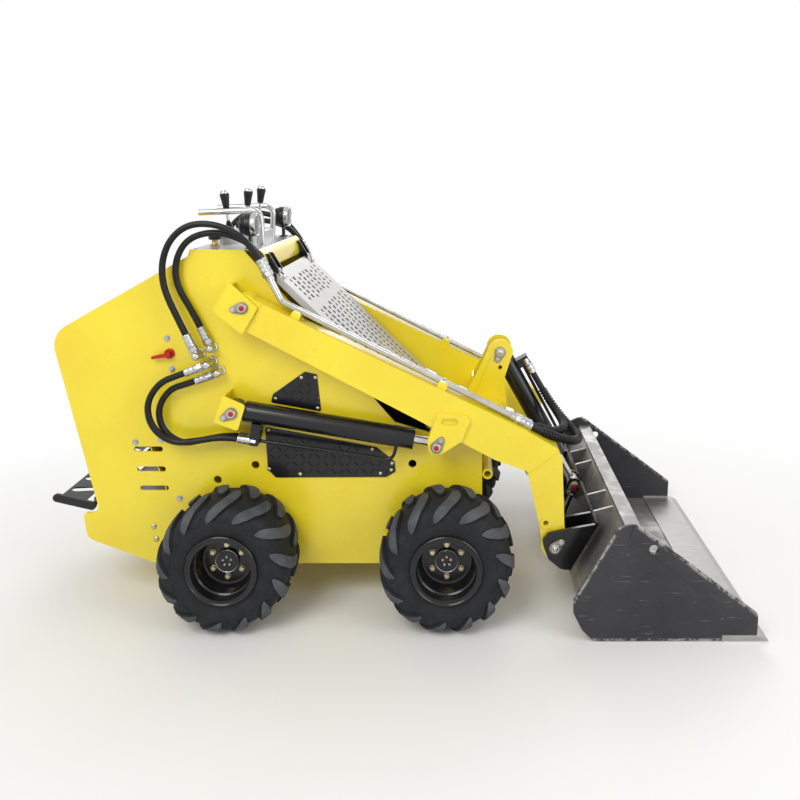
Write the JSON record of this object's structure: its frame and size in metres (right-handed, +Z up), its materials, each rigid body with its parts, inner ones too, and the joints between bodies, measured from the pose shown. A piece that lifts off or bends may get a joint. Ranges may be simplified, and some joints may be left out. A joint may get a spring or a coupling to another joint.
{
  "type": "stand-on skid steer loader with bucket",
  "caption": "Compact stand-on skid steer loader: yellow body on four lugged tyres, twin lift arms, tilt cylinder, quick attach and steel bucket",
  "frame": {"origin": "middle of the overall outline seen from above, on the floor", "axes": "+X forward to the bucket, +Y the machine's left, +Z up"},
  "size_m": [2.404, 1.08, 1.4487],
  "materials": {
    "yellow_paint": "semi_gloss",
    "black_paint": "semi_gloss",
    "zinc_plate": "satin",
    "engine_iron": "matte",
    "chrome": "polished",
    "black_plastic": "matte",
    "red_plastic": "gloss",
    "silver_paint": "satin",
    "bucket_steel": "worn",
    "tyre_rubber": "matte",
    "hose_rubber": "satin"
  },
  "bodies": {
    "chassis": {"side_plate_r": "yellow_paint", "side_plate_l": "yellow_paint", "belly_pan": "yellow_paint", "front_panel": "yellow_paint", "front_tie_tube": "yellow_paint", "rear_panel": "yellow_paint", "operator_floor": "black_paint", "top_deck": "zinc_plate", "cowl": "yellow_paint", "engine_block": "engine_iron", "vent_plates": "black_paint", "arm_mounts": "yellow_paint", "cylinder_mounts": "yellow_paint", "wheel_motors": "black_paint", "control_valve": "zinc_plate", "control_levers": "chrome", "grab_rails": "chrome", "work_lamps": "black_plastic", "filler_cap": "black_plastic", "key_switch": "red_plastic", "hose_ports": "zinc_plate", "hood_hinges": "black_paint", "hose_upper_outer_r": "hose_rubber", "hose_upper_outer_l": "hose_rubber", "hose_upper_inner_r": "hose_rubber", "hose_upper_inner_l": "hose_rubber", "hose_lower_outer_r": "hose_rubber", "hose_lower_outer_l": "hose_rubber", "hose_lower_inner_r": "hose_rubber", "hose_lower_inner_l": "hose_rubber"},
    "hood": {"hood": "silver_paint"},
    "fold_step": {"fold_step": "black_paint"},
    "lift_arms": {"arm_r": "yellow_paint", "arm_l": "yellow_paint", "cross_tube": "yellow_paint", "tower": "yellow_paint", "arm_pipes": "zinc_plate", "tilt_hose_1": "hose_rubber", "tilt_hose_2": "hose_rubber"},
    "lift_barrel_r": {"lift_barrel_r": "black_paint"},
    "lift_barrel_l": {"lift_barrel_l": "black_paint"},
    "lift_rod_r": {"lift_rod_r": "chrome"},
    "lift_rod_l": {"lift_rod_l": "chrome"},
    "tilt_barrel": {"tilt_barrel": "black_paint"},
    "tilt_rod": {"tilt_rod": "chrome"},
    "bucket": {"quick_attach": "black_paint", "bucket": "bucket_steel"},
    "wheel_front_r": {"tyre_front_r": "tyre_rubber", "rim_front_r": "black_paint"},
    "wheel_front_l": {"tyre_front_l": "tyre_rubber", "rim_front_l": "black_paint"},
    "wheel_rear_r": {"tyre_rear_r": "tyre_rubber", "rim_rear_r": "black_paint"},
    "wheel_rear_l": {"tyre_rear_l": "tyre_rubber", "rim_rear_l": "black_paint"}
  },
  "joints": [
    {"name": "lift_arm", "type": "hinge", "parent": "chassis", "child": "lift_arms", "pos_m": [-0.502, 0, 1.056], "axis": [0, -1, 0], "range_deg": [0, 60], "deforming": ["hose_upper_outer_r", "hose_upper_outer_l", "hose_upper_inner_r", "hose_upper_inner_l"]},
    {"name": "bucket_tilt", "type": "hinge", "parent": "lift_arms", "child": "bucket", "pos_m": [0.532, 0, 0.241], "axis": [0, -1, 0], "range_deg": [-68, 28]},
    {"name": "hood_lid", "type": "hinge", "parent": "chassis", "child": "hood", "pos_m": [-0.415, 0, 1.161], "axis": [0, -1, 0], "range_deg": [0, 60]},
    {"name": "step_fold", "type": "hinge", "parent": "chassis", "child": "fold_step", "pos_m": [-1.068, 0, 0.343], "axis": [0, 1, 0], "range_deg": [0, 62]},
    {"name": "tilt_barrel", "type": "hinge", "parent": "lift_arms", "child": "tilt_barrel", "pos_m": [0.363, 0, 0.829], "axis": [0, -1, 0], "range_deg": [-7, 4], "deforming": ["tilt_hose_1", "tilt_hose_2"]},
    {"name": "tilt_rod", "type": "slide", "parent": "tilt_barrel", "child": "tilt_rod", "axis": [0.4806, 0, -0.8769], "range_m": [-0.07, 0.15]},
    {"name": "lift_barrel_r", "type": "hinge", "parent": "chassis", "child": "lift_barrel_r", "pos_m": [-0.546, -0.345, 0.702], "axis": [0, -1, 0], "range_deg": [-1, 56], "deforming": ["hose_lower_outer_r", "hose_lower_inner_r"]},
    {"name": "lift_rod_r", "type": "slide", "parent": "lift_barrel_r", "child": "lift_rod_r", "axis": [0.9858, 0, -0.1682], "range_m": [-0.01, 0.36]},
    {"name": "lift_barrel_l", "type": "hinge", "parent": "chassis", "child": "lift_barrel_l", "pos_m": [-0.546, 0.345, 0.702], "axis": [0, -1, 0], "range_deg": [-1, 56], "deforming": ["hose_lower_outer_l", "hose_lower_inner_l"]},
    {"name": "lift_rod_l", "type": "slide", "parent": "lift_barrel_l", "child": "lift_rod_l", "axis": [0.9858, 0, -0.1682], "range_m": [-0.01, 0.36]},
    {"name": "wheel_front_r", "type": "hinge", "parent": "chassis", "child": "wheel_front_r", "pos_m": [0.169, -0.436, 0.225], "axis": [0, 1, 0], "continuous": true},
    {"name": "wheel_front_l", "type": "hinge", "parent": "chassis", "child": "wheel_front_l", "pos_m": [0.169, 0.436, 0.225], "axis": [0, 1, 0], "continuous": true},
    {"name": "wheel_rear_r", "type": "hinge", "parent": "chassis", "child": "wheel_rear_r", "pos_m": [-0.554, -0.436, 0.225], "axis": [0, 1, 0], "continuous": true},
    {"name": "wheel_rear_l", "type": "hinge", "parent": "chassis", "child": "wheel_rear_l", "pos_m": [-0.554, 0.436, 0.225], "axis": [0, 1, 0], "continuous": true}
  ],
  "couplings": [
    {"joint": "tilt_barrel", "follows": "bucket_tilt", "ratio": 0.06},
    {"joint": "tilt_rod", "follows": "bucket_tilt", "m_per_rad": -0.1232},
    {"joint": "lift_barrel_r", "follows": "lift_arm", "ratio": 0.865},
    {"joint": "lift_rod_r", "follows": "lift_arm", "m_per_rad": 0.3266},
    {"joint": "lift_barrel_l", "follows": "lift_arm", "ratio": 0.865},
    {"joint": "lift_rod_l", "follows": "lift_arm", "m_per_rad": 0.3266}
  ]
}
